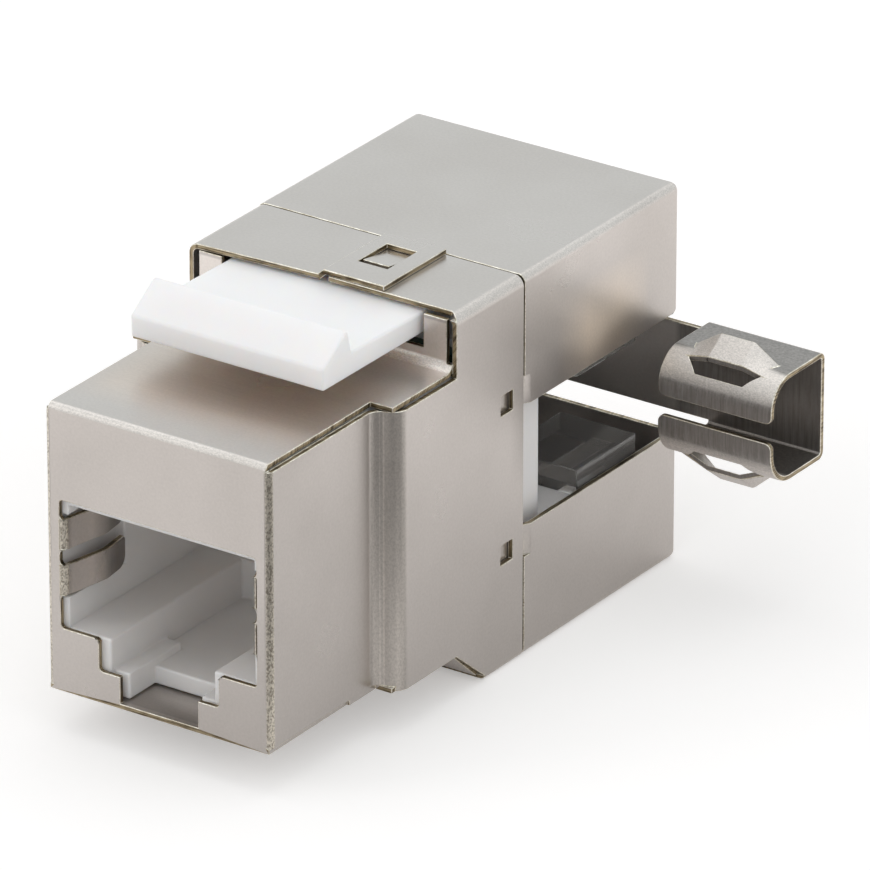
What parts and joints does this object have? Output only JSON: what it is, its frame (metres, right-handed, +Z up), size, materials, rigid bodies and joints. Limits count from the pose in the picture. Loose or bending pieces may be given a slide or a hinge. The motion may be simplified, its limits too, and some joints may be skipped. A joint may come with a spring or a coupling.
{
  "type": "shielded keystone ethernet jack",
  "caption": "Shielded tool-free keystone jack: folded metal shield, white sprung panel latch, rear covers that swing open round a cable gap, and an open cable clamp on the side.",
  "frame": {"origin": "on the centre plane of the jack, in the plane of its front face, at the level of its underside", "axes": "+X to the side that the cable clamp is on, +Y from the front face to the rear covers, +Z up from the underside to the panel latch"},
  "size_m": [0.0266, 0.0363, 0.0234],
  "materials": {
    "nickel_sheet": "satin nickel plate on thin folded sheet",
    "white_latch": "bright white moulded plastic",
    "white_insert": "white moulded plastic, satin",
    "dark_carrier": "black moulded plastic",
    "board_green": "green circuit board with solder mask",
    "gold_plate": "gold plate on spring wire",
    "tinned_bronze": "tinned bronze strip",
    "smoke_clear": "smoke-tinted clear plastic"
  },
  "bodies": {
    "housing": {"front_shield": "nickel_sheet", "socket_insert": "white_insert", "terminal_block": "white_insert", "contact_carrier": "dark_carrier", "circuit_board": "board_green", "jack_contact_1": "gold_plate", "jack_contact_2": "gold_plate", "jack_contact_3": "gold_plate", "jack_contact_4": "gold_plate", "jack_contact_5": "gold_plate", "jack_contact_6": "gold_plate", "jack_contact_7": "gold_plate", "jack_contact_8": "gold_plate", "lower_idc_contact_1": "tinned_bronze", "lower_idc_contact_2": "tinned_bronze", "lower_idc_contact_3": "tinned_bronze", "lower_idc_contact_4": "tinned_bronze", "upper_idc_contact_1": "tinned_bronze", "upper_idc_contact_2": "tinned_bronze", "upper_idc_contact_3": "tinned_bronze", "upper_idc_contact_4": "tinned_bronze"},
    "latch": {"panel_latch": "white_latch"},
    "upper_cover": {"upper_rear_cover": "nickel_sheet", "upper_wire_cap": "smoke_clear"},
    "lower_cover": {"lower_rear_cover": "nickel_sheet", "lower_wire_cap": "smoke_clear"}
  },
  "joints": [
    {"name": "latch_press", "type": "hinge", "parent": "housing", "child": "latch", "pos_m": [0, 0.0196, 0.02105], "axis": [1, 0, 0], "range_deg": [0, 6], "stiffness_Nm_per_rad": 0.1},
    {"name": "upper_cover_hinge", "type": "hinge", "parent": "housing", "child": "upper_cover", "pos_m": [0, 0.0214, 0.0223], "axis": [1, 0, 0], "range_deg": [0, 90]},
    {"name": "lower_cover_hinge", "type": "hinge", "parent": "housing", "child": "lower_cover", "pos_m": [0, 0.0214, 0], "axis": [1, 0, 0], "range_deg": [-90, 0]}
  ]
}
